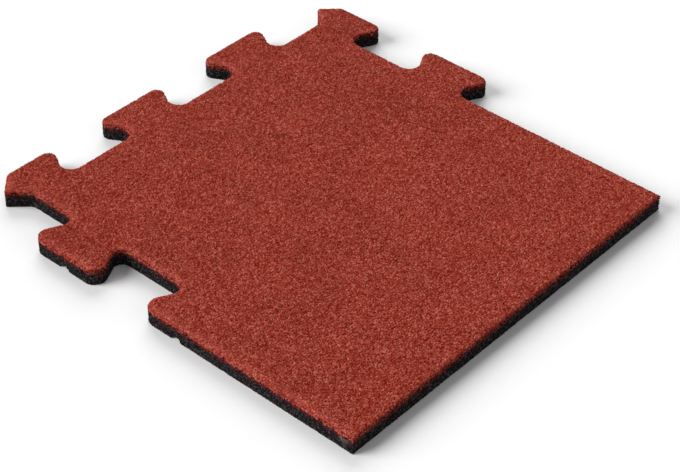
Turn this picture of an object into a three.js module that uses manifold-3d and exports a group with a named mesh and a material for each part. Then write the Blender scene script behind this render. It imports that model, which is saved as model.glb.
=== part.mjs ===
// Interlocking rubber floor tile for a gym: a black base layer of bonded rubber crumb with a thin red
// wear layer pressed onto it. This is the tile for the front row of a floor. Its front edge and the
// front half of both sides are straight, its left side has sockets, and its right side and back have
// dovetail tabs that lock into the tiles next to it.
//
// Millimetres, +Z up. The floor is Z = 0. The outline is drawn with the square body's front left corner
// at X = 0, Y = 0, and the finished tile is then moved so that the origin is under its middle.

import * as THREE from 'three';
import { mergeVertices } from 'three/addons/utils/BufferGeometryUtils.js';
import Module from 'manifold-3d';

// Body
const BODY_SIZE = 500; // side of the square that one tile covers
const BASE_THICKNESS = 16; // black crumb layer
const WEAR_THICKNESS = 4; // red crumb layer

// Dovetail tabs and the sockets that take them
const TAB_PITCH = 165; // from the middle of one tab to the next
const TAB_DEPTH = 48; // how far a tab stands out from the body
const TAB_HEAD_WIDTH = 90.5; // widest place
const TAB_NECK_WIDTH = 70; // narrowest place
const TAB_HEAD_RADIUS = 10; // rounding of the outer corners
const TAB_ROOT_RADIUS = 13.5; // rounding where a tab meets the body
const SOCKET_CLEARANCE = 0.75; // room left all round a tab in its socket
const SIDE_TAB_COUNT = 2; // tabs on the right side, sockets on the left
const BACK_TAB_COUNT = 3;
const SIDE_TAB_START = 318; // middle of the foremost side tab, from the front edge
const BACK_TAB_START = 66.5; // middle of the leftmost back tab, from the left edge

// Corners where four tiles meet: both corner tabs end in cuts at 45 degrees
const CORNER_SETBACK = 3; // from the body's back corner to where the diagonal flank starts
const CORNER_REACH = 24; // how far past the back edge the two corner tabs meet
const CORNER_TIP_RADIUS = 3;
const CORNER_END_RADIUS = 8;
const CORNER_FLOOR_RADIUS = 13; // rounding of the socket where the next tile's corner tab ends
const CORNER_ROOT_RADIUS = 18;

// Drainage grooves moulded into the underside, from the left side to the right
const GROOVE_COUNT = 2;
const GROOVE_WIDTH = 14;
const GROOVE_DEPTH = 4;
const GROOVE_START = 235; // middle of the front groove, from the front edge
const GROOVE_PITCH = 165;

const ARC_STEPS = 9; // straight pieces in each rounded corner
const CUT_OVERRUN = 20; // how far a groove's cutter runs past the tile

const RIGHT_ANGLE = Math.PI / 2;
const DIAGONAL = Math.PI / 4;

// Directions around the outline, which runs counter-clockwise
const EDGES = {
  right: { corner: [BODY_SIZE, 0], heading: RIGHT_ANGLE },
  back: { corner: [BODY_SIZE, BODY_SIZE], heading: 2 * RIGHT_ANGLE },
  left: { corner: [0, BODY_SIZE], heading: 3 * RIGHT_ANGLE },
};

const TAB = {
  depth: TAB_DEPTH,
  head: TAB_HEAD_WIDTH,
  neck: TAB_NECK_WIDTH,
  headRadius: TAB_HEAD_RADIUS,
  rootRadius: TAB_ROOT_RADIUS,
  outward: true,
};

const SOCKET = {
  ...TAB,
  depth: TAB_DEPTH + SOCKET_CLEARANCE,
  head: TAB_HEAD_WIDTH + 2 * SOCKET_CLEARANCE,
  neck: TAB_NECK_WIDTH + 2 * SOCKET_CLEARANCE,
  outward: false,
};

// Angle at which the straight flank leaves the root rounding and touches the head rounding.
function flankAngle(shape) {
  const along = (shape.head - shape.neck) / 2 - shape.headRadius - shape.rootRadius;
  const across = shape.depth - shape.headRadius - shape.rootRadius;
  const lean = Math.acos((shape.headRadius + shape.rootRadius) / Math.hypot(along, across));
  return Math.atan2(across, along) + lean;
}

// Draws one arc given in an edge's own directions: `along` the edge, `away` from it, outwards for a tab
// and inwards for a socket. Angles are measured from `along` towards `away`.
function edgeArc(outline, edge, shape, along, away, radius, startAngle, endAngle) {
  const side = shape.outward ? -1 : 1;
  const { corner, heading } = edge;
  const x = corner[0] + along * Math.cos(heading) - side * away * Math.sin(heading);
  const y = corner[1] + along * Math.sin(heading) + side * away * Math.cos(heading);
  const clockwise = side * (endAngle - startAngle) < 0;
  outline.absarc(x, y, radius, heading + side * startAngle, heading + side * endAngle, clockwise);
}

// The near flank of a tab or socket, from the edge out to its end.
function nearFlank(outline, edge, shape, middle) {
  const flank = Math.PI - flankAngle(shape);
  const root = middle - shape.neck / 2 - shape.rootRadius;
  const head = middle - shape.head / 2 + shape.headRadius;
  edgeArc(outline, edge, shape, root, shape.rootRadius, shape.rootRadius, -RIGHT_ANGLE, flank);
  const headAway = shape.depth - shape.headRadius;
  edgeArc(outline, edge, shape, head, headAway, shape.headRadius, Math.PI + flank, RIGHT_ANGLE);
}

// The far flank of a tab or socket, from its end back to the edge.
function farFlank(outline, edge, shape, middle) {
  const flank = flankAngle(shape);
  const root = middle + shape.neck / 2 + shape.rootRadius;
  const head = middle + shape.head / 2 - shape.headRadius;
  const headAway = shape.depth - shape.headRadius;
  edgeArc(outline, edge, shape, head, headAway, shape.headRadius, RIGHT_ANGLE, flank - Math.PI);
  edgeArc(outline, edge, shape, root, shape.rootRadius, shape.rootRadius, flank, 3 * RIGHT_ANGLE);
}

// Rounds the corner between two straight stretches, given the corner and the directions in and out.
function roundedCorner(outline, x, y, headingIn, headingOut, radius) {
  const turn = Math.atan2(Math.sin(headingOut - headingIn), Math.cos(headingOut - headingIn));
  const side = Math.sign(turn);
  const back = radius * Math.tan(Math.abs(turn) / 2);
  const startX = x - back * Math.cos(headingIn);
  const startY = y - back * Math.sin(headingIn);
  const centreX = startX - side * radius * Math.sin(headingIn);
  const centreY = startY + side * radius * Math.cos(headingIn);
  const startAngle = headingIn - side * RIGHT_ANGLE;
  outline.absarc(centreX, centreY, radius, startAngle, startAngle + turn, turn < 0);
}

// The tab at the back right corner. Its end is cut off at 45 degrees where the next tile's corner tab
// comes in, and its back flank follows the diagonal on which four tiles meet.
function backRightCorner(outline, middle) {
  nearFlank(outline, EDGES.right, TAB, middle);
  const rootX = BODY_SIZE + CORNER_SETBACK;
  const tipX = rootX + CORNER_REACH;
  const tipY = BODY_SIZE + CORNER_REACH;
  const endX = BODY_SIZE + TAB_DEPTH;
  const endY = tipY - (endX - tipX);
  roundedCorner(outline, endX, endY, RIGHT_ANGLE, 3 * DIAGONAL, CORNER_END_RADIUS);
  roundedCorner(outline, tipX, tipY, 3 * DIAGONAL, 5 * DIAGONAL, CORNER_TIP_RADIUS);
  roundedCorner(outline, rootX, BODY_SIZE, 5 * DIAGONAL, 4 * DIAGONAL, CORNER_ROOT_RADIUS);
}

// The tab at the back left corner, which fills the rest of that meeting place, and the back end of the
// socket beside it.
function backLeftCorner(outline, middle) {
  nearFlank(outline, EDGES.back, TAB, BODY_SIZE - middle);
  const room = SOCKET_CLEARANCE / Math.SQRT2;
  const tipX = CORNER_SETBACK + CORNER_REACH + room;
  const tipY = BODY_SIZE + CORNER_REACH + room;
  const endY = BODY_SIZE + TAB_DEPTH;
  const endX = tipX + (endY - tipY);
  const floorX = SOCKET.depth;
  const floorY = tipY - (floorX - tipX);
  roundedCorner(outline, endX, endY, 4 * DIAGONAL, 5 * DIAGONAL, CORNER_END_RADIUS);
  roundedCorner(outline, tipX, tipY, 5 * DIAGONAL, 7 * DIAGONAL, CORNER_TIP_RADIUS);
  roundedCorner(outline, floorX, floorY, 7 * DIAGONAL, 6 * DIAGONAL, CORNER_FLOOR_RADIUS);
}

// Outline of the whole tile in plan, counter-clockwise from the front left corner.
function tileOutline() {
  const outline = new THREE.Shape();
  outline.moveTo(0, 0);
  outline.lineTo(BODY_SIZE, 0);

  const lastSideTab = SIDE_TAB_START + (SIDE_TAB_COUNT - 1) * TAB_PITCH;
  for (let middle = SIDE_TAB_START; middle < lastSideTab; middle += TAB_PITCH) {
    nearFlank(outline, EDGES.right, TAB, middle);
    farFlank(outline, EDGES.right, TAB, middle);
  }
  backRightCorner(outline, lastSideTab);

  for (let index = BACK_TAB_COUNT - 1; index > 0; index -= 1) {
    const along = BODY_SIZE - (BACK_TAB_START + index * TAB_PITCH);
    nearFlank(outline, EDGES.back, TAB, along);
    farFlank(outline, EDGES.back, TAB, along);
  }
  backLeftCorner(outline, BACK_TAB_START);

  farFlank(outline, EDGES.left, SOCKET, BODY_SIZE - lastSideTab);
  for (let index = SIDE_TAB_COUNT - 2; index >= 0; index -= 1) {
    const along = BODY_SIZE - (SIDE_TAB_START + index * TAB_PITCH);
    nearFlank(outline, EDGES.left, SOCKET, along);
    farFlank(outline, EDGES.left, SOCKET, along);
  }
  outline.closePath();
  return outline;
}

// A flat layer of the tile, from its underside at `bottom` up.
function layerGeometry(outline, bottom, thickness) {
  const options = { depth: thickness, curveSegments: ARC_STEPS, bevelEnabled: false };
  return new THREE.ExtrudeGeometry(outline, options).translate(0, 0, bottom);
}

// One groove's cutter: a bar with an arched top that runs along X below the floor and through the tile.
function grooveGeometry(middleY) {
  const half = GROOVE_WIDTH / 2;
  const radius = (half * half + GROOVE_DEPTH * GROOVE_DEPTH) / (2 * GROOVE_DEPTH);
  const centreZ = GROOVE_DEPTH - radius;
  const sweep = Math.atan2(half, -centreZ);
  const section = new THREE.Shape();
  section.moveTo(-half, -GROOVE_DEPTH);
  section.lineTo(half, -GROOVE_DEPTH);
  section.absarc(0, centreZ, radius, RIGHT_ANGLE - sweep, RIGHT_ANGLE + sweep, false);
  section.closePath();
  const length = BODY_SIZE + TAB_DEPTH + 2 * CUT_OVERRUN;
  const options = { depth: length, curveSegments: ARC_STEPS, bevelEnabled: false };
  const bar = new THREE.ExtrudeGeometry(section, options);
  bar.rotateX(RIGHT_ANGLE).rotateZ(RIGHT_ANGLE);
  return bar.translate(-CUT_OVERRUN, middleY, 0);
}

const wasm = await Module();
wasm.setup();

function toSolid(geometry) {
  const bare = geometry.clone();
  bare.deleteAttribute('normal');
  bare.deleteAttribute('uv');
  const merged = mergeVertices(bare, 1e-4);
  const vertProperties = new Float32Array(merged.attributes.position.array);
  const triVerts = new Uint32Array(merged.index.array);
  return new wasm.Manifold(new wasm.Mesh({ numProp: 3, vertProperties, triVerts }));
}

function toGeometry(solid) {
  const mesh = solid.getMesh();
  const geometry = new THREE.BufferGeometry();
  geometry.setAttribute('position', new THREE.BufferAttribute(mesh.vertProperties, mesh.numProp));
  geometry.setIndex(new THREE.BufferAttribute(mesh.triVerts, 1));
  geometry.computeVertexNormals();
  return geometry;
}

// The black layer, with its drainage grooves cut into the underside.
function baseLayer(outline) {
  let solid = toSolid(layerGeometry(outline, 0, BASE_THICKNESS));
  for (let index = 0; index < GROOVE_COUNT; index += 1) {
    const groove = toSolid(grooveGeometry(GROOVE_START + index * GROOVE_PITCH));
    solid = solid.subtract(groove);
  }
  const material = new THREE.MeshStandardMaterial({ color: 0x252020, roughness: 0.92, metalness: 0 });
  const mesh = new THREE.Mesh(toGeometry(solid), material);
  mesh.name = 'base_layer';
  return mesh;
}

// The red layer, which lies on the black one face to face and has the same outline.
function wearLayer(outline) {
  const geometry = layerGeometry(outline, BASE_THICKNESS, WEAR_THICKNESS);
  const material = new THREE.MeshStandardMaterial({ color: 0x903b30, roughness: 0.88, metalness: 0 });
  const mesh = new THREE.Mesh(geometry, material);
  mesh.name = 'wear_layer';
  return mesh;
}

const tile = new THREE.Group();
const outline = tileOutline();
tile.add(baseLayer(outline), wearLayer(outline));
tile.position.set(-(BODY_SIZE + TAB_DEPTH) / 2, -(BODY_SIZE + TAB_DEPTH) / 2, 0);

export default tile;
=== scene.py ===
"""Interlocking rubber floor tile: the looks of its red wear layer and its black base layer.

Both layers are pressed rubber crumb, so both are modelled crumb by crumb. Every crumb is a small
faceted lump. Its facets run down to the hollows that it shares with its neighbours, and the whole
crumb is either red or black. The crumbs are scattered over the tile's top, walls and underside, on
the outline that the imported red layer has. Lengths are in metres.
"""

import math

import bpy
import numpy as np
from mathutils import Matrix, Vector
from mathutils.geometry import delaunay_2d_cdt
from mathutils.kdtree import KDTree


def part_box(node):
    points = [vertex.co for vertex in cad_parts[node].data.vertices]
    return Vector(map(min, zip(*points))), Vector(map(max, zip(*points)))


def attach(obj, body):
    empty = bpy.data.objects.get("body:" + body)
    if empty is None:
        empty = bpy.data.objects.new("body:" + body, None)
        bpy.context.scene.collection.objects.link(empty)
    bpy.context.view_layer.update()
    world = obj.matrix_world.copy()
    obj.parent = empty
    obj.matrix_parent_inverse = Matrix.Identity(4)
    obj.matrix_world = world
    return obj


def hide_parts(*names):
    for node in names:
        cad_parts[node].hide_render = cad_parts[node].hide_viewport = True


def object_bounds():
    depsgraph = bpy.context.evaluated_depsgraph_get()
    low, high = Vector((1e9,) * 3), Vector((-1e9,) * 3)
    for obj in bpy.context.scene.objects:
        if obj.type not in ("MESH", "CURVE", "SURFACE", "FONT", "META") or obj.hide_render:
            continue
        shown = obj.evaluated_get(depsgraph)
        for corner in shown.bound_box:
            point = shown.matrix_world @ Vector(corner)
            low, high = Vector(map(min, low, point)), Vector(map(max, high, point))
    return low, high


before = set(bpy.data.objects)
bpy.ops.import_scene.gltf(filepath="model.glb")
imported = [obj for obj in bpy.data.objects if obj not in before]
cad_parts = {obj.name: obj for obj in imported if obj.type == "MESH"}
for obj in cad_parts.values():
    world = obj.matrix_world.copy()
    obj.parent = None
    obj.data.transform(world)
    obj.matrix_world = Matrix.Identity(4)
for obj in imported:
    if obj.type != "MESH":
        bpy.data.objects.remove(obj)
cad_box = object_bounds()

TILE_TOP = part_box("wear_layer")[1].z
LAYER_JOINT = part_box("wear_layer")[0].z

# Crumb sizes, from the middle of one crumb to the middle of the next
TOP_CRUMB = 0.0033
RIM_CRUMB = 0.0025
WALL_CRUMB = 0.0024
UNDER_CRUMB = 0.0039
GROOVE_CRUMB = 0.0024
CRUMB_JITTER = 0.34  # how far a crumb lies off its even place, as a share of the crumb size
ROW_JITTER = 0.4  # the same for the crumbs of a row
EDGE_ROOM = 0.66  # room that a scattered crumb keeps to a row of crumbs, as a share of its size

# Drainage grooves in the underside, which run along X
GROOVE_MIDDLES = (-0.039, 0.126)
GROOVE_HALF_WIDTH = 0.007
GROOVE_DEPTH = 0.004
LONGEST_MOUTH = 2.2 * GROOVE_HALF_WIDTH  # stretch of rim between the two edges of a groove, at most

# How far the crumbs stand out of the tile's plain faces and how deep the hollows between them go
CRUMB_LIFT = (-0.00020, 0.00022)
WALL_LIFT = (0.0, 0.00045)
UNDER_LIFT = (0.0, 0.00035)
HOLLOW_DEPTH = (0.00045, 0.00095)
RIM_HOLLOW_SHARE = 0.35  # hollows along the lower rim are this much of the others' depth
PIT_SHARE = 0.03  # share of the crumbs that have come out
PIT_DEPTH = 0.0009
FLAT_FACING = 0.9  # a crumb whose facing is more upright than this is in the top or the underside

# The red layer's lower edge wanders up and down, and the tile's lower edge is worn
JOINT_SAG = 0.0010
JOINT_WANDER = 0.0010
JOINT_WANDER_STEP = 0.005
EDGE_WEAR = 0.0005
EDGE_WEAR_STEP = 0.007
MOUTH_WEAR = 0.0016  # at the mouths of the grooves

# The top rim is rounded, carries a painted highlight where it faces left, and painted shade right at the
# near edges
RIM_ROUNDING = 0.0011
RIM_FALL = 0.0004
RIM_FALL_REACH = 0.0035
RIM_HIGHLIGHT = 0.7
RIM_HIGHLIGHT_REACH = 0.007
FRONT_RIM_SHADE = 1.35
LEFT_RIM_SHADE = 0.85
RIM_SHADE_REACH = 0.0026

# Pale scuffs on the black walls: the middle of each, and how far it reaches
SCUFFS = (
    ((-0.274, -0.262, 0.012), 0.0050),
    ((-0.225, 0.226, 0.0045), 0.0018),
)

# The outline's direction is averaged over this far to both sides
WALL_WINDOW = 0.0012
RIM_WINDOW = 0.004
HIDDEN_WINDOW = 0.005
WINDOW_SAMPLES = 5
SHARP_TURN = math.radians(35)  # an outline corner that turns more than this stays in place

# The face on which the layers meet
HIDDEN_INSET = 0.0012  # how far behind the walls it starts
HIDDEN_STEP = 1e-7  # least distance between the points of its rim

# The flat map of a layer: its top or underside in plan, then the walls in rows, then the hidden face
MAP_GAP = 0.004
MAP_WALL = 0.54  # length of wall in one row
MAP_ROW = TILE_TOP + MAP_GAP
MAP_SIDE = cad_box[1][0] - cad_box[0][0] + 2 * MAP_GAP
MAP_CORNER = np.array(cad_box[0][:2])
HIDDEN_SCALE = 0.03
STEEP = 0.72  # a facet of a wall crumb goes with the walls if its normal is less upright than this

# Working values
MICROMETRES = 1e6
MILLIMETRES = 1000.0
TOUCHING = 1e-6  # points of a triangulation this close, in millimetres, are one
SAME_HEIGHT = 1e-5
SEAM_REACH = 0.01  # crumbs this close to the sheet's start are also minded at its end
BATCH = 2000
SEED = 20

# The grains of a crumb's finish, and how their tone runs from dark over plain to pale
GRAIN_SCALE = 660.0
GRAIN_SHARE = 0.78  # how much of a grain's tone is its own; the rest is its crumb's
DARK_TO_PLAIN = (0.12, 0.52)
PLAIN_TO_PALE = (0.56, 0.92)
# Painted shade in the gaps between grains: how near a gap it falls, and how dark it gets
GRAIN_GAP = (0.0, 0.16)
GAP_SHADE = (0.65, 1.0)
MINGLE_SCALE = 300.0
MINGLE_DETAIL = 3.0
MINGLE_WOBBLE = 0.008
MINGLE_BLUR = (-0.06, 0.06)
PATCH_SCALE = 28.0
PATCH_DETAIL = 4.0
PATCH_STRENGTH = 0.4
ROUGHNESS_SCALE = 700.0
ROUGHNESS_DETAIL = 2.0
ROUGHNESS_SPAN = (0.3, 0.7)
ROUGHNESS = (0.80, 0.97)
TOOTH_SCALE = 2200.0
TOOTH_DETAIL = 3.0
TOOTH_SHARE = 0.5
NOISE_MIDDLE = 0.5
RELIEF_STRENGTH = 0.6
RELIEF_DEPTH = 0.0004

# The finishes. Colours are as seen on screen, from 0 to 255. From one height to the other, a growing
# share of the grains takes the joint's colour.
RED_SHINE = 0.05
RED_COLOURS = {
    "Dark Grain": (122, 25, 10),
    "Plain Grain": (154, 57, 41),
    "Pale Grain": (183, 96, 84),
    # on the red layer this is the colour of the painted highlight on the rims that face left
    "Worn And Lit Grain": (205, 112, 105),
    "Joint Colour": (34, 14, 14),
}
RED_VALUES = {
    # how far the red rims take the painted highlight's colour, and how much painted light and shade brighten
    # or darken them
    "Worn And Lit Share": 0.35,
    "Rim Light Gain": 0.35,
    "Joint From": LAYER_JOINT + 0.0030,
    "Joint To": LAYER_JOINT - 0.0007,
    "Joint Share": 0.6,
}
BLACK_SHINE = 0.12
BLACK_COLOURS = {
    "Dark Grain": (9, 7, 7),
    "Plain Grain": (22, 18, 19),
    "Pale Grain": (72, 68, 70),
    "Worn And Lit Grain": (142, 124, 116),
    "Joint Colour": (112, 30, 28),
}
BLACK_VALUES = {
    "Worn And Lit Share": 1.0,
    "Rim Light Gain": 0.0,
    "Joint From": LAYER_JOINT - 0.0058,
    "Joint To": LAYER_JOINT,
    "Joint Share": 0.55,
}

# Studio floor
FLOOR_REACH = 4.0
PAPER_ROUGHNESS = 0.9
PAPER_SHINE = 0.1
PAPER_SCALE = 240.0
PAPER_DETAIL = 2.0
PAPER_TONES = (0.86, 0.88)

# Each lamp's heading is counter-clockwise from +X, and with its elevation and width it is in degrees
SKY_STRENGTH = 0.21
KEY_LAMP = {"name": "key_light", "strength": 3.75, "width": 42, "heading": 138, "elevation": 28}
BACK_LAMP = {"name": "back_light", "strength": 2.3, "width": 50, "heading": 44, "elevation": 28}
FRONT_LAMP = {"name": "front_light", "strength": 0.6, "width": 60, "heading": -75, "elevation": 20}
LAMP_DISTANCE = 2.0

# The photograph's view of the tile
CAMERA_AIM = Vector((-0.040, -0.049, 0.0))
CAMERA_DISTANCE = 2.067
CAMERA_HEADING = 41.45
CAMERA_ELEVATION = 39.01
CAMERA_ROLL = 0.54
CAMERA_LENS = 103.0
SENSOR_WIDTH = 36.0

random = np.random.default_rng(SEED)


# The outline

def outline_from(node):
    """The outline of a flat node's top face, counter-clockwise, as plan points."""
    mesh = node.data
    mesh.calc_loop_triangles()
    places = np.array([vertex.co for vertex in mesh.vertices])
    whole = np.round(places * MICROMETRES).astype(np.int64)
    _, first, same = np.unique(whole, axis=0, return_index=True, return_inverse=True)
    same = same.reshape(-1)
    lowest = places[:, 2].max() - SAME_HEIGHT
    sides = set()
    for triangle in mesh.loop_triangles:
        if min(places[index, 2] for index in triangle.vertices) < lowest:
            continue
        corners = [int(same[index]) for index in triangle.vertices]
        for side in zip(corners, corners[1:] + corners[:1]):
            if side[::-1] in sides:
                sides.remove(side[::-1])
            else:
                sides.add(side)
    after = dict(sides)
    start = min(after, key=lambda index: tuple(places[first[index], :2]))
    loop = [start]
    while after[loop[-1]] != start:
        loop.append(after[loop[-1]])
    return places[first[loop], :2]


class Outline:
    """The tile's outline. A place on it is given by its distance along it from the front left corner."""

    def __init__(self, corners):
        self.corners = np.vstack([corners, corners[:1]])
        sides = np.diff(self.corners, axis=0)
        lengths = np.hypot(sides[:, 0], sides[:, 1])
        self.starts = np.concatenate([[0.0], np.cumsum(lengths)])
        self.length = self.starts[-1]
        self.directions = sides / lengths[:, None]

    def point(self, along):
        """The plan point at each distance along the outline."""
        along = np.mod(along, self.length)
        x = np.interp(along, self.starts, self.corners[:, 0])
        y = np.interp(along, self.starts, self.corners[:, 1])
        return np.stack([x, y], axis=-1)

    def direction(self, along, window=WALL_WINDOW):
        """The outline's direction, averaged over a short window so that it turns smoothly."""
        total = 0.0
        for offset in np.linspace(-window, window, WINDOW_SAMPLES):
            place = np.mod(along + offset, self.length)
            side = np.searchsorted(self.starts, place, side="right") - 1
            total = total + self.directions[np.clip(side, 0, len(self.directions) - 1)]
        return total / np.linalg.norm(total, axis=-1, keepdims=True)

    def outward(self, along, window=WALL_WINDOW):
        """The plan direction away from the tile."""
        direction = self.direction(along, window)
        return np.stack([direction[..., 1], -direction[..., 0]], axis=-1)

    def sharp_corners(self):
        """Distances along the outline of the corners that aren't rounded."""
        before = np.roll(self.directions, 1, axis=0)
        turn = np.arccos(np.clip((before * self.directions).sum(axis=1), -1, 1))
        return self.starts[:-1][turn > SHARP_TURN]

    def crossings(self, y):
        """Distances along the outline of the places where it crosses the line at y."""
        low, high = self.corners[:-1, 1], self.corners[1:, 1]
        crossed = (low - y) * (high - y) < 0
        share = (y - low[crossed]) / (high[crossed] - low[crossed])
        return self.starts[:-1][crossed] + share * np.diff(self.starts)[crossed]

    def wander(self, along, step):
        """A smooth random line between -1 and 1 that closes on itself after one round."""
        count = int(self.length / step)
        knots = random.uniform(-1, 1, count)
        place = np.mod(along, self.length) / self.length * count
        index = np.floor(place).astype(int)
        share = place - index
        share = share * share * (3 - 2 * share)
        return knots[index % count] * (1 - share) + knots[(index + 1) % count] * share


def groove_height(y):
    """Height of the underside over the floor, which is zero outside the grooves."""
    radius = (GROOVE_HALF_WIDTH**2 + GROOVE_DEPTH**2) / (2 * GROOVE_DEPTH)
    height = np.zeros_like(y)
    for middle in GROOVE_MIDDLES:
        across = np.clip(np.abs(y - middle), 0, GROOVE_HALF_WIDTH)
        arch = np.sqrt(radius**2 - across**2) + GROOVE_DEPTH - radius
        height = np.maximum(height, arch)
    return height


# Scattering the crumbs

def row(start, end, step):
    """Uneven steps from start up to, but not including, end."""
    count = max(1, round((end - start) / step))
    places = np.arange(count) + random.uniform(-ROW_JITTER, ROW_JITTER, count)
    places[0] = 0
    return start + places * (end - start) / count


def rim_row(outline, kept):
    """Crumbs along a rim, with one at each sharp corner and kept place and finer ones over a groove."""
    kept = np.sort(np.concatenate([outline.sharp_corners(), kept]))
    stops = np.append(kept, kept[0] + outline.length)
    rows = []
    for start, end in zip(stops[:-1], stops[1:]):
        middle = outline.point((start + end) / 2)
        fine = end - start < LONGEST_MOUTH and groove_height(middle[1:])[0] > 0
        rows.append(row(start, end, GROOVE_CRUMB if fine else RIM_CRUMB))
    return np.sort(np.mod(np.concatenate(rows), outline.length))


def scatter(low, high, size):
    """Crumb middles on a jittered triangular lattice that fills a box."""
    height = size * math.sqrt(3) / 2
    rows = np.arange(low[1], high[1], height)
    columns = np.arange(low[0], high[0], size)
    x, y = np.meshgrid(columns, rows)
    x[1::2] += size / 2
    middles = np.stack([x.ravel(), y.ravel()], axis=-1)
    return middles + random.uniform(-CRUMB_JITTER, CRUMB_JITTER, middles.shape) * size


def inside(points, polygon):
    """Which points lie inside a polygon."""
    found = np.zeros(len(points), bool)
    x, y = points.T
    for (x1, y1), (x2, y2) in zip(polygon, np.roll(polygon, -1, axis=0)):
        if y1 == y2:
            continue
        crossed = (y1 > y) != (y2 > y)
        found ^= crossed & (x < (x2 - x1) * (y - y1) / (y2 - y1) + x1)
    return found


def clear_of(points, others, room):
    """Which points keep the room to all the others."""
    clear = np.ones(len(points), bool)
    for start in range(0, len(points), BATCH):
        part = points[start:start + BATCH]
        across = part[:, None, 0] - others[None, :, 0]
        upwards = part[:, None, 1] - others[None, :, 1]
        clear[start:start + BATCH] = (across**2 + upwards**2).min(axis=1) > room**2
    return clear


def triangulate(points, rim):
    """Triangles between points in a plane, inside the rim, which is a loop of point numbers."""
    places = [Vector(point) for point in points * MILLIMETRES]
    sides = list(zip(rim, rim[1:] + rim[:1]))
    result = delaunay_2d_cdt(places, sides, [], 1, TOUCHING)
    sources = [found[0] for found in result[3]]
    return np.array([[sources[corner] for corner in face] for face in result[2]])


class Crumbs:
    """All crumbs of the tile: their middles on its plain faces, which way they face and what they are."""

    def __init__(self):
        self.middles = np.zeros((0, 3))
        self.facing = np.zeros((0, 3))
        self.along = np.zeros(0)  # distance along the outline, for the crumbs on the walls
        self.on_wall = np.zeros(0, bool)
        self.triangles = np.zeros((0, 3), int)
        self.triangle_along = np.zeros(0)

    def add(self, middles, facing, along=None):
        """Adds crumbs and returns their numbers."""
        count = len(middles)
        first = len(self.middles)
        self.middles = np.vstack([self.middles, middles])
        self.facing = np.vstack([self.facing, np.broadcast_to(facing, (count, 3))])
        self.on_wall = np.append(self.on_wall, np.full(count, along is not None))
        self.along = np.append(self.along, np.zeros(count) if along is None else along)
        return np.arange(first, first + count)

    def join(self, triangles, along=None):
        """Adds triangles between neighbouring crumbs."""
        self.triangles = np.vstack([self.triangles, triangles])
        places = np.full(len(triangles), np.nan) if along is None else along
        self.triangle_along = np.append(self.triangle_along, places)

    def marked(self, numbers):
        """For every crumb, whether its number is among the given ones."""
        found = np.zeros(len(self.middles), bool)
        found[numbers] = True
        return found


def with_height(plan, height):
    return np.column_stack([plan, np.broadcast_to(height, len(plan))])


def slanted(outline, along, up):
    """Directions halfway between outwards and up, or down where up is negative."""
    facing = with_height(outline.outward(along), up)
    return facing / np.linalg.norm(facing, axis=1, keepdims=True)


def lay_top(crumbs, outline, rim_along, rim):
    """The crumbs of the walking surface, inside the crumbs of its rim."""
    edge = outline.point(rim_along)
    middles = scatter(edge.min(axis=0), edge.max(axis=0), TOP_CRUMB)
    middles = middles[inside(middles, edge)]
    middles = middles[clear_of(middles, edge, EDGE_ROOM * TOP_CRUMB)]
    laid = crumbs.add(with_height(middles, TILE_TOP), (0, 0, 1))
    numbers = np.concatenate([rim, laid])
    triangles = triangulate(np.vstack([edge, middles]), list(range(len(rim))))
    crumbs.join(numbers[triangles])


def lay_underside(crumbs, outline, rim_along, rim):
    """The crumbs of the underside, with finer ones in the grooves and rows along their edges."""
    edge = outline.point(rim_along)
    low, high = edge.min(axis=0), edge.max(axis=0)
    flat = scatter(low, high, UNDER_CRUMB)
    flat = flat[groove_height(flat[:, 1]) == 0]
    reach = GROOVE_HALF_WIDTH - EDGE_ROOM * GROOVE_CRUMB
    rows = []
    hollows = []
    for middle in GROOVE_MIDDLES:
        for side in (-1, 1):
            x = row(low[0], high[0], GROOVE_CRUMB)
            rows.append(np.stack([x, np.full_like(x, middle + side * GROOVE_HALF_WIDTH)], axis=-1))
        hollows.append(scatter((low[0], middle - reach), (high[0], middle + reach), GROOVE_CRUMB))
    rows = np.vstack(rows)
    hollows = np.vstack(hollows)
    flat = flat[clear_of(flat, rows, EDGE_ROOM * UNDER_CRUMB)]
    hollows = hollows[clear_of(hollows, rows, EDGE_ROOM * GROOVE_CRUMB)]
    middles = np.vstack([rows, hollows, flat])
    middles = middles[inside(middles, edge)]
    middles = middles[clear_of(middles, edge, EDGE_ROOM * GROOVE_CRUMB)]
    laid = crumbs.add(with_height(middles, groove_height(middles[:, 1])), (0, 0, -1))
    numbers = np.concatenate([rim, laid])
    triangles = triangulate(np.vstack([edge, middles]), list(range(len(rim))))
    crumbs.join(numbers[triangles[:, ::-1]])


def wall_crumbs(outline, rims, low_along, low_heights):
    """Crumb middles scattered over the unrolled walls, clear of the crumbs of the rims."""
    length = outline.length
    middles = scatter((0, 0), (length, TILE_TOP), WALL_CRUMB)
    wall_floor = np.interp(middles[:, 0], low_along, low_heights, period=length)
    between = (middles[:, 1] > wall_floor) & (middles[:, 1] < TILE_TOP)
    on_sheet = (middles[:, 0] > 0) & (middles[:, 0] < length)
    middles = middles[between & on_sheet]
    past_seam = rims[rims[:, 0] < SEAM_REACH] + (length, 0)
    return middles[clear_of(middles, np.vstack([rims, past_seam]), EDGE_ROOM * WALL_CRUMB)]


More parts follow.
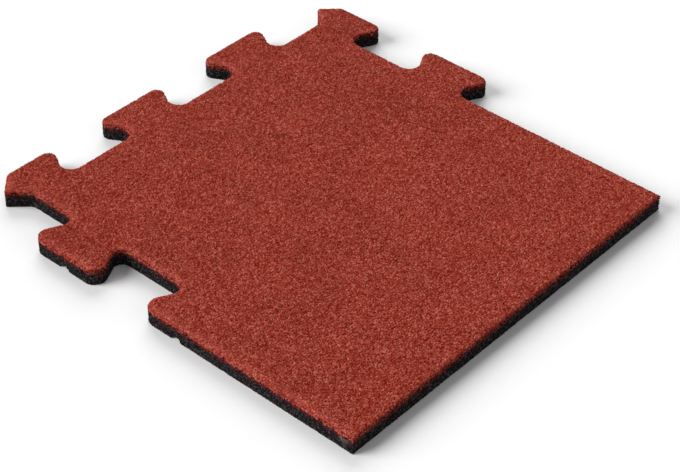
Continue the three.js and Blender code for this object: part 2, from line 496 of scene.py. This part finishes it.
def lay_walls(crumbs, outline, top_along, top_rim, low_along, low_rim):
    """The crumbs of the upright walls, unrolled between the top rim and the lower rim."""
    length = outline.length
    low_heights = crumbs.middles[low_rim, 2]
    top_heights = np.full(len(top_rim), TILE_TOP)
    column = row(0, TILE_TOP, WALL_CRUMB)[1:]
    upright = np.array([(along, height) for along in outline.sharp_corners() for height in column])
    low_row = np.column_stack([low_along, low_heights])
    top_row = np.column_stack([top_along, top_heights])
    scattered = wall_crumbs(outline, np.vstack([low_row, top_row, upright]), low_along, low_heights)
    middles = np.vstack([upright, scattered])
    along = middles[:, 0]
    facing = with_height(outline.outward(along), 0)
    laid = crumbs.add(with_height(outline.point(along), middles[:, 1]), facing, along)
    seam, rest = laid[:len(column)], laid[len(column):]

    # The sheet starts and ends at the front left corner, so that corner's crumbs are on both its ends
    sheet = [(low_rim, low_along, low_heights), (low_rim[:1], [length], low_heights[:1])]
    sheet.append((seam, np.full(len(seam), length), column))
    sheet.append((top_rim[:1], [length], [TILE_TOP]))
    sheet.append((top_rim[::-1], top_along[::-1], top_heights))
    sheet.append((seam[::-1], np.zeros(len(seam)), column[::-1]))
    around = sum(len(part[0]) for part in sheet)
    sheet.append((rest, *middles[len(column):].T))
    numbers = np.concatenate([part[0] for part in sheet])
    places = np.column_stack([np.concatenate([part[axis] for part in sheet]) for axis in (1, 2)])
    triangles = triangulate(places, list(range(around)))
    crumbs.join(numbers[triangles], places[triangles, 0].mean(axis=1))


def lay_crumbs(outline):
    """Scatters the crumbs over the whole tile."""
    groove_edges = []
    for middle in GROOVE_MIDDLES:
        for side in (-1, 1):
            groove_edges.extend(outline.crossings(middle + side * GROOVE_HALF_WIDTH))
    crumbs = Crumbs()
    top_along = rim_row(outline, [])
    low_along = rim_row(outline, groove_edges)
    top_middles = with_height(outline.point(top_along), TILE_TOP)
    top_rim = crumbs.add(top_middles, slanted(outline, top_along, 1), top_along)
    low_plan = outline.point(low_along)
    low_middles = with_height(low_plan, groove_height(low_plan[:, 1]))
    low_rim = crumbs.add(low_middles, slanted(outline, low_along, -1), low_along)
    lay_top(crumbs, outline, top_along, top_rim)
    lay_underside(crumbs, outline, low_along, low_rim)
    lay_walls(crumbs, outline, top_along, top_rim, low_along, low_rim)
    return crumbs, top_rim, low_rim


# Red and black

def neighbours(crumbs):
    """Each facet's crumb, the crumb on its far side, and the two hollows at its foot."""
    count = len(crumbs.middles)
    near = crumbs.triangles.ravel()
    far = np.roll(crumbs.triangles, -1, axis=1).ravel()
    left_hollow = np.repeat(np.arange(len(crumbs.triangles)), 3)
    order = np.argsort(near * count + far)
    place = np.searchsorted((near * count + far)[order], far * count + near)
    right_hollow = left_hollow[order][place]
    return near, far, right_hollow, left_hollow


def linked(start, allowed, near, far):
    """The allowed crumbs that a chain of allowed neighbours joins to the starting ones."""
    found = start & allowed
    while True:
        wider = found.copy()
        wider[far[found[near]]] = True
        wider &= allowed
        if wider.sum() == found.sum():
            return found
        found = wider


def red_crumbs(crumbs, outline, top_rim, low_rim, near, far):
    """Which crumbs are red. None lies apart from its own layer."""
    height = crumbs.middles[:, 2]
    joint = LAYER_JOINT - JOINT_SAG + JOINT_WANDER * outline.wander(crumbs.along, JOINT_WANDER_STEP)
    red = np.where(crumbs.on_wall, height > joint, height > LAYER_JOINT)
    red = linked(crumbs.marked(top_rim), red, near, far)
    return ~linked(crumbs.marked(low_rim), ~red, near, far)


# Relief

def nearest_on_rim(crumbs, outline, top_rim):
    """Each crumb's distance to the top rim, and the way the rim faces there."""
    rim = KDTree(len(top_rim))
    for number, crumb in enumerate(top_rim):
        rim.insert(crumbs.middles[crumb], number)
    rim.balance()
    nearest = [rim.find(middle) for middle in crumbs.middles]
    outward = outline.outward(crumbs.along[top_rim], RIM_WINDOW)[[found[1] for found in nearest]]
    return np.array([found[2] for found in nearest]), outward


def fading(distance, reach):
    """1 at no distance, falling smoothly to about a third at the reach and to nothing beyond it."""
    return np.exp(-((distance / reach) ** 2))


def crumb_tips(crumbs, outline, top_rim, low_rim, rim_distance):
    """Where each crumb's tip is, off the tile's plain faces."""
    count = len(crumbs.middles)
    lift = random.uniform(*CRUMB_LIFT, count)
    lift[crumbs.on_wall] = random.uniform(*WALL_LIFT, crumbs.on_wall.sum())
    lift -= PIT_DEPTH * (random.uniform(0, 1, count) < PIT_SHARE)
    under = crumbs.facing[:, 2] < -FLAT_FACING
    lift[under] = -random.uniform(*UNDER_LIFT, under.sum())
    wear = np.clip(outline.wander(crumbs.along[low_rim], EDGE_WEAR_STEP), 0, None)
    mouth = crumbs.middles[low_rim, 2] / GROOVE_DEPTH
    rough = random.uniform(*WALL_LIFT, len(low_rim)) / 2
    lift[low_rim] = rough - EDGE_WEAR * wear - MOUTH_WEAR * mouth
    lift[top_rim] -= RIM_ROUNDING
    top = crumbs.facing[:, 2] > FLAT_FACING
    lift[top] -= RIM_FALL * fading(rim_distance[top], RIM_FALL_REACH)
    return crumbs.middles + crumbs.facing * lift[:, None]


def hollow_floors(crumbs, tips, low_rim):
    """Where the hollows between the crumbs are, one for each triangle of neighbours."""
    middle = ((crumbs.middles + tips) / 2)[crumbs.triangles].mean(axis=1)
    facing = crumbs.facing[crumbs.triangles].mean(axis=1)
    depth = random.uniform(*HOLLOW_DEPTH, len(middle))
    depth[crumbs.marked(low_rim)[crumbs.triangles].any(axis=1)] *= RIM_HOLLOW_SHARE
    return middle - facing * depth[:, None]


def above_floor(points):
    """The points, with those below the floor lifted onto it."""
    return np.column_stack([points[:, :2], np.maximum(points[:, 2], 0)])


def rim_light_and_shade(distance, outward):
    """Painted light on the rims: a painted highlight where they face left, less painted shade right at a
    near rim.
    """
    left = np.clip(-outward[:, 0], 0, 1)
    front = np.clip(-outward[:, 1], 0, 1)
    lightening = RIM_HIGHLIGHT * left * fading(distance, RIM_HIGHLIGHT_REACH)
    rim_shade = (FRONT_RIM_SHADE * front + LEFT_RIM_SHADE * left) * fading(distance, RIM_SHADE_REACH)
    return lightening - rim_shade


def scuffed(crumbs):
    """How pale each crumb is scuffed, more or less by its own tone."""
    pale = np.zeros(len(crumbs.middles))
    for place, reach in SCUFFS:
        distance = np.linalg.norm(crumbs.middles - place, axis=1)
        pale = np.maximum(pale, fading(distance, reach))
    return pale * crumbs.tones


# Pieces

def joint_loop(crumbs, red, near, far, right_hollow, left_hollow):
    """The hollows along the joint between red and black, in order along the outline."""
    joint = red[near] & ~red[far]
    after = dict(zip(right_hollow[joint].tolist(), left_hollow[joint].tolist()))
    start = min(after, key=lambda hollow: crumbs.triangle_along[hollow])
    loop = [start]
    while after[loop[-1]] != start:
        loop.append(after[loop[-1]])
    if len(loop) != len(after):
        raise ValueError("the joint between the layers isn't one loop")
    return np.array(loop)


def hidden_face(crumbs, outline, loop):
    """The flat face on which the layers meet: its rim behind the walls, and its triangles."""
    along = crumbs.triangle_along[loop]
    along = np.maximum.accumulate(along) + np.arange(len(loop)) * HIDDEN_STEP
    plan = outline.point(along) - HIDDEN_INSET * outline.outward(along, HIDDEN_WINDOW)
    triangles = triangulate(plan, list(range(len(loop))))
    return with_height(plan, LAYER_JOINT), triangles


def closing_triangles(outer, inner, face, faces_up):
    """The strip from the joint's hollows to the hidden face's rim, and the hidden face itself."""
    after_outer = np.roll(outer, -1)
    after_inner = np.roll(inner, -1)
    strip = np.vstack([
        np.column_stack([outer, inner, after_inner]),
        np.column_stack([outer, after_inner, after_outer]),
    ])
    if faces_up:
        return np.vstack([strip[:, ::-1], face])
    return np.vstack([strip, face[:, ::-1]])


def flat_map(facets, crumb, closing, crumbs, outline):
    """A place on the layer's flat map, from 0 to 1, for each corner of its facets and closing triangles."""
    normal = np.cross(facets[:, 1] - facets[:, 0], facets[:, 2] - facets[:, 0])
    steep = np.abs(normal[:, 2]) < STEEP * np.linalg.norm(normal, axis=1)
    on_wall = crumbs.on_wall[crumb] & steep
    plan = facets[:, :, :2] - MAP_CORNER + MAP_GAP
    along = crumbs.along[crumb]
    line = np.floor(along / MAP_WALL)
    offset = facets[:, :, :2] - crumbs.tips[crumb][:, None, :2]
    past_tip = (offset * outline.direction(along)[:, None, :]).sum(axis=2)
    run = (along - line * MAP_WALL)[:, None] + past_tip + MAP_GAP
    rise = MAP_SIDE + line[:, None] * MAP_ROW + facets[:, :, 2]
    facet_map = np.where(on_wall[:, None, None], np.stack([run, rise], axis=2), plan)
    rows = math.floor(outline.length / MAP_WALL) + 1
    hidden_map = (closing[:, :, :2] - MAP_CORNER) * HIDDEN_SCALE
    hidden_map[:, :, 1] += MAP_SIDE + rows * MAP_ROW
    return np.vstack([facet_map, hidden_map]) / (hidden_map[:, :, 1].max() + MAP_GAP)


def build_piece(name, crumbs, outline, chosen, hidden, faces_up):
    """One layer as a closed mesh: the chosen facets of its crumbs and its face against the other layer."""
    crumb, right, left = (column[chosen] for column in crumbs.facets)
    loop, hidden_rim, hidden_triangles = hidden
    first_hollow = len(crumbs.tips)
    first_hidden = first_hollow + len(crumbs.hollows)
    places = np.vstack([crumbs.tips, crumbs.hollows, hidden_rim])
    facets = np.column_stack([crumb, first_hollow + right, first_hollow + left])
    inner = first_hidden + np.arange(len(loop))
    closing = closing_triangles(first_hollow + loop, inner, first_hidden + hidden_triangles, faces_up)
    map_places = flat_map(places[facets], crumb, places[closing], crumbs, outline)

    used, numbers = np.unique(np.vstack([facets, closing]), return_inverse=True)
    mesh = bpy.data.meshes.new(name)
    mesh.from_pydata(places[used].tolist(), [], numbers.reshape(-1, 3).tolist())
    for attribute, values in (("crumb_tone", crumbs.tones), ("crumb_scuffs_and_rim_light", crumbs.wear)):
        layer = mesh.attributes.new(attribute, "FLOAT", "FACE")
        face_values = np.append(values[crumb], np.zeros(len(closing)))
        layer.data.foreach_set("value", face_values.astype(np.float32))
    uv = mesh.uv_layers.new(name="OFBake")
    uv.uv.foreach_set("vector", map_places.reshape(-1).astype(np.float32))
    mesh.validate()
    piece = bpy.data.objects.new(name, mesh)
    bpy.context.scene.collection.objects.link(piece)
    return piece


def build_tile():
    """Both layers."""
    outline = Outline(outline_from(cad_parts["wear_layer"]))
    crumbs, top_rim, low_rim = lay_crumbs(outline)
    near, far, right_hollow, left_hollow = neighbours(crumbs)
    red = red_crumbs(crumbs, outline, top_rim, low_rim, near, far)
    rim_distance, rim_outward = nearest_on_rim(crumbs, outline, top_rim)
    tips = crumb_tips(crumbs, outline, top_rim, low_rim, rim_distance)
    crumbs.hollows = above_floor(hollow_floors(crumbs, tips, low_rim))
    crumbs.tips = above_floor(tips)
    crumbs.facets = (near, right_hollow, left_hollow)
    crumbs.tones = random.uniform(0, 1, len(tips))
    # Red crumbs carry painted light and shade along the top rim; black crumbs carry their pale scuffs
    crumbs.wear = np.where(red, rim_light_and_shade(rim_distance, rim_outward), scuffed(crumbs))
    loop = joint_loop(crumbs, red, near, far, right_hollow, left_hollow)
    hidden = (loop, *hidden_face(crumbs, outline, loop))
    red_facets = red[near]
    wear_layer = build_piece("wear_layer_crumb", crumbs, outline, red_facets, hidden, False)
    base_layer = build_piece("base_layer_crumb", crumbs, outline, ~red_facets, hidden, True)
    return wear_layer, base_layer


# Finishes

def srgb(red, green, blue):
    """A colour as seen on screen, from 0 to 255, as the renderer's linear colour."""
    parts = [value / 255 for value in (red, green, blue)]
    linear = [part / 12.92 if part < 0.04045 else ((part + 0.055) / 1.055) ** 2.4 for part in parts]
    return (*linear, 1.0)


def add_node(tree, kind, **settings):
    node = tree.nodes.new(kind)
    for name, value in settings.items():
        setattr(node, name, value)
    return node


def connect(tree, source, target):
    """Links an output to an input. A plain value is set on the input instead."""
    if isinstance(source, bpy.types.NodeSocket):
        tree.links.new(source, target)
    else:
        target.default_value = source


def arithmetic(tree, operation, first, second):
    node = add_node(tree, "ShaderNodeMath", operation=operation)
    connect(tree, first, node.inputs[0])
    connect(tree, second, node.inputs[1])
    return node.outputs["Value"]


def ramp(tree, value, span, result=(0.0, 1.0)):
    """A smooth step from the first result to the second as value goes over the span."""
    node = add_node(tree, "ShaderNodeMapRange", interpolation_type="SMOOTHSTEP")
    names = ("Value", "From Min", "From Max", "To Min", "To Max")
    for name, source in zip(names, (value, *span, *result)):
        connect(tree, source, node.inputs[name])
    return node.outputs["Result"]


def blend_colours(tree, factor, first, second, blend_type="MIX"):
    node = add_node(tree, "ShaderNodeMix", data_type="RGBA", blend_type=blend_type)
    connect(tree, factor, node.inputs[0])
    connect(tree, first, node.inputs[6])
    connect(tree, second, node.inputs[7])
    return node.outputs[2]


def noise(tree, place, scale, detail):
    node = add_node(tree, "ShaderNodeTexNoise", noise_dimensions="3D")
    connect(tree, place, node.inputs["Vector"])
    connect(tree, scale, node.inputs["Scale"])
    connect(tree, detail, node.inputs["Detail"])
    return node.outputs["Fac"]


def cells(tree, place, feature):
    """The grains, as cells of random shape."""
    node = add_node(tree, "ShaderNodeTexVoronoi", voronoi_dimensions="3D", feature=feature)
    connect(tree, place, node.inputs["Vector"])
    connect(tree, GRAIN_SCALE, node.inputs["Scale"])
    return node.outputs


def separate(tree, source, kind):
    node = add_node(tree, kind)
    connect(tree, source, node.inputs[0])
    return node.outputs


def gain(tree, value, strength):
    """1 plus the value times its strength, to brighten or darken with."""
    return arithmetic(tree, "ADD", 1.0, arithmetic(tree, "MULTIPLY", value, strength))


def add_sockets(tree):
    """The named inputs and outputs of the crumb finish."""
    colours = ("Dark Grain", "Plain Grain", "Pale Grain", "Worn And Lit Grain", "Joint Colour", "Color")
    inputs = ["Crumb Tone", "Wear And Rim Light", *RED_COLOURS, *RED_VALUES]
    for direction, names in (("INPUT", inputs), ("OUTPUT", ["Color", "Roughness", "Height"])):
        for name in names:
            kind = "NodeSocketColor" if name in colours else "NodeSocketFloat"
            tree.interface.new_socket(name=name, in_out=direction, socket_type=kind)


def crumb_finish_group():
    """Finish of pressed rubber crumb: fine grains of many tones, painted shade in the gaps between them,
    painted light and shade on the rims, and pale scuffs.
    """
    tree = bpy.data.node_groups.new("crumb_finish", "ShaderNodeTree")
    add_sockets(tree)
    given = add_node(tree, "NodeGroupInput").outputs
    result = add_node(tree, "NodeGroupOutput").inputs
    place = add_node(tree, "ShaderNodeTexCoord").outputs["Object"]

    # Each crumb is a clump of finer grains, with a tone of their own
    grains = cells(tree, place, "F1")
    draws = separate(tree, grains["Color"], "ShaderNodeSeparateColor")
    own_tone = arithmetic(tree, "MULTIPLY", draws["Red"], GRAIN_SHARE)
    crumb_tone = arithmetic(tree, "MULTIPLY", given["Crumb Tone"], 1 - GRAIN_SHARE)
    tone = arithmetic(tree, "ADD", own_tone, crumb_tone)
    plain = ramp(tree, tone, DARK_TO_PLAIN)
    pale = ramp(tree, tone, PLAIN_TO_PALE)
    colour = blend_colours(tree, plain, given["Dark Grain"], given["Plain Grain"])
    colour = blend_colours(tree, pale, colour, given["Pale Grain"])
    # Towards the worn colour: pale scuffs on the black, a painted highlight on the red rims that face left
    lightening = arithmetic(tree, "MULTIPLY", given["Wear And Rim Light"], given["Worn And Lit Share"])
    colour = blend_colours(tree, lightening, colour, given["Worn And Lit Grain"])

    # Red and black grains mingle along the joint between the layers
    drift = noise(tree, place, MINGLE_SCALE, MINGLE_DETAIL)
    drift = arithmetic(tree, "SUBTRACT", drift, NOISE_MIDDLE)
    wobble = arithmetic(tree, "MULTIPLY", drift, MINGLE_WOBBLE)
    height = separate(tree, place, "ShaderNodeSeparateXYZ")["Z"]
    height = arithmetic(tree, "ADD", height, wobble)
    joint_span = (given["Joint From"], given["Joint To"])
    chance = ramp(tree, height, joint_span, (0.0, given["Joint Share"]))
    mingled = ramp(tree, arithmetic(tree, "SUBTRACT", chance, draws["Green"]), MINGLE_BLUR)
    colour = blend_colours(tree, mingled, colour, given["Joint Colour"])

    # Painted shade darkens the gaps between grains, broad patches are darker, and the rims carry painted
    # light and shade
    # painted shade in the gaps between grains
    gaps = cells(tree, place, "DISTANCE_TO_EDGE")["Distance"]
    gap_shade = ramp(tree, gaps, GRAIN_GAP, GAP_SHADE)
    patch = noise(tree, place, PATCH_SCALE, PATCH_DETAIL)
    patch_shade = gain(tree, arithmetic(tree, "SUBTRACT", patch, NOISE_MIDDLE), PATCH_STRENGTH)
    # painted light and shade brighten or darken the red rims
    painted_rim_light = gain(tree, given["Wear And Rim Light"], given["Rim Light Gain"])
    brightness = arithmetic(tree, "MULTIPLY", gap_shade, patch_shade)
    brightness = arithmetic(tree, "MULTIPLY", brightness, painted_rim_light)
    shade = add_node(tree, "ShaderNodeCombineColor")
    for channel in ("Red", "Green", "Blue"):
        connect(tree, brightness, shade.inputs[channel])
    shaded = blend_colours(tree, 1.0, colour, shade.outputs["Color"], "MULTIPLY")
    connect(tree, shaded, result["Color"])

    rubbing = noise(tree, place, ROUGHNESS_SCALE, ROUGHNESS_DETAIL)
    connect(tree, ramp(tree, rubbing, ROUGHNESS_SPAN, ROUGHNESS), result["Roughness"])
    domes = arithmetic(tree, "SUBTRACT", 1.0, grains["Distance"])
    tooth = noise(tree, place, TOOTH_SCALE, TOOTH_DETAIL)
    tooth = arithmetic(tree, "MULTIPLY", tooth, TOOTH_SHARE)
    connect(tree, arithmetic(tree, "ADD", domes, tooth), result["Height"])
    return tree


def crumb_rubber(name, group, shine, colours, values):
    """A crumb rubber material: the shared finish with this layer's colours."""
    material = bpy.data.materials.new(name)
    material.use_nodes = True
    tree = material.node_tree
    shader = tree.nodes["Principled BSDF"]
    shader.inputs["Specular IOR Level"].default_value = shine
    finish = add_node(tree, "ShaderNodeGroup", node_tree=group)
    for attribute, input_name in (("crumb_tone", "Crumb Tone"), ("crumb_scuffs_and_rim_light", "Wear And Rim Light")):
        value = add_node(tree, "ShaderNodeAttribute", attribute_name=attribute)
        connect(tree, value.outputs["Fac"], finish.inputs[input_name])
    for input_name, colour in colours.items():
        finish.inputs[input_name].default_value = srgb(*colour)
    for input_name, value in values.items():
        finish.inputs[input_name].default_value = value
    relief = add_node(tree, "ShaderNodeBump")
    relief.inputs["Strength"].default_value = RELIEF_STRENGTH
    relief.inputs["Distance"].default_value = RELIEF_DEPTH
    connect(tree, finish.outputs["Height"], relief.inputs["Height"])
    connect(tree, finish.outputs["Color"], shader.inputs["Base Color"])
    connect(tree, finish.outputs["Roughness"], shader.inputs["Roughness"])
    connect(tree, relief.outputs["Normal"], shader.inputs["Normal"])
    return material


def floor_paper():
    """Matt white studio paper with a faint tooth."""
    material = bpy.data.materials.new("studio_paper")
    material.use_nodes = True
    tree = material.node_tree
    shader = tree.nodes["Principled BSDF"]
    shader.inputs["Roughness"].default_value = PAPER_ROUGHNESS
    shader.inputs["Specular IOR Level"].default_value = PAPER_SHINE
    place = add_node(tree, "ShaderNodeTexCoord").outputs["Object"]
    tooth = noise(tree, place, PAPER_SCALE, PAPER_DETAIL)
    darker, paler = [(tone, tone, tone, 1) for tone in PAPER_TONES]
    connect(tree, blend_colours(tree, tooth, darker, paler), shader.inputs["Base Color"])
    return material


# Stage, light and camera

def direction_of(heading, elevation):
    """Unit vector for a heading, counter-clockwise from +X, and an elevation, in degrees."""
    turn, rise = math.radians(heading), math.radians(elevation)
    return Vector((math.cos(turn) * math.cos(rise), math.sin(turn) * math.cos(rise), math.sin(rise)))


def lay_floor():
    mesh = bpy.data.meshes.new("studio_floor")
    corners = [(x * FLOOR_REACH, y * FLOOR_REACH, 0) for x, y in ((-1, -1), (1, -1), (1, 1), (-1, 1))]
    mesh.from_pydata(corners, [], [(0, 1, 2, 3)])
    floor = bpy.data.objects.new("studio_floor", mesh)
    floor.data.materials.append(floor_paper())
    bpy.context.scene.collection.objects.link(floor)


def add_lamp(name, strength, width, heading, elevation):
    lamp = bpy.data.lights.new(name, "SUN")
    lamp.energy = strength
    lamp.angle = math.radians(width)
    placed = bpy.data.objects.new(name, lamp)
    to_lamp = direction_of(heading, elevation)
    placed.rotation_euler = to_lamp.to_track_quat("Z", "Y").to_euler()
    placed.location = to_lamp * LAMP_DISTANCE
    bpy.context.scene.collection.objects.link(placed)


def light_studio():
    """Even white light from all round, a soft key light from the back left and two weaker soft lights."""
    world = bpy.data.worlds.new("studio_light")
    world.use_nodes = True
    background = world.node_tree.nodes["Background"]
    background.inputs["Color"].default_value = (1, 1, 1, 1)
    background.inputs["Strength"].default_value = SKY_STRENGTH
    bpy.context.scene.world = world
    for lamp in (KEY_LAMP, BACK_LAMP, FRONT_LAMP):
        add_lamp(**lamp)


def set_camera():
    data = bpy.data.cameras.new("camera")
    data.sensor_width = SENSOR_WIDTH
    data.lens = CAMERA_LENS
    camera = bpy.data.objects.new("camera", data)
    bpy.context.scene.collection.objects.link(camera)
    forward = direction_of(CAMERA_HEADING, -CAMERA_ELEVATION)
    level = forward.cross(Vector((0, 0, 1))).normalized()
    right = Matrix.Rotation(-math.radians(CAMERA_ROLL), 3, forward) @ level
    up = right.cross(forward)
    place = CAMERA_AIM - forward * CAMERA_DISTANCE
    turn = Matrix((right, up, -forward)).transposed()
    camera.matrix_world = Matrix.Translation(place) @ turn.to_4x4()
    bpy.context.scene.camera = camera


def main():
    wear_layer, base_layer = build_tile()
    finish = crumb_finish_group()
    red_rubber = crumb_rubber("red_crumb_rubber", finish, RED_SHINE, RED_COLOURS, RED_VALUES)
    black_rubber = crumb_rubber("black_crumb_rubber", finish, BLACK_SHINE, BLACK_COLOURS, BLACK_VALUES)
    layers = (
        (wear_layer, red_rubber, "wear_layer", "red_crumb"),
        (base_layer, black_rubber, "base_layer", "black_crumb"),
    )
    for piece, rubber, node, slot in layers:
        piece.data.materials.append(rubber)
        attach(piece, "root")
        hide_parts(node)
    lay_floor()
    light_studio()
    set_camera()
    bpy.context.scene.view_settings.view_transform = "Standard"


main()
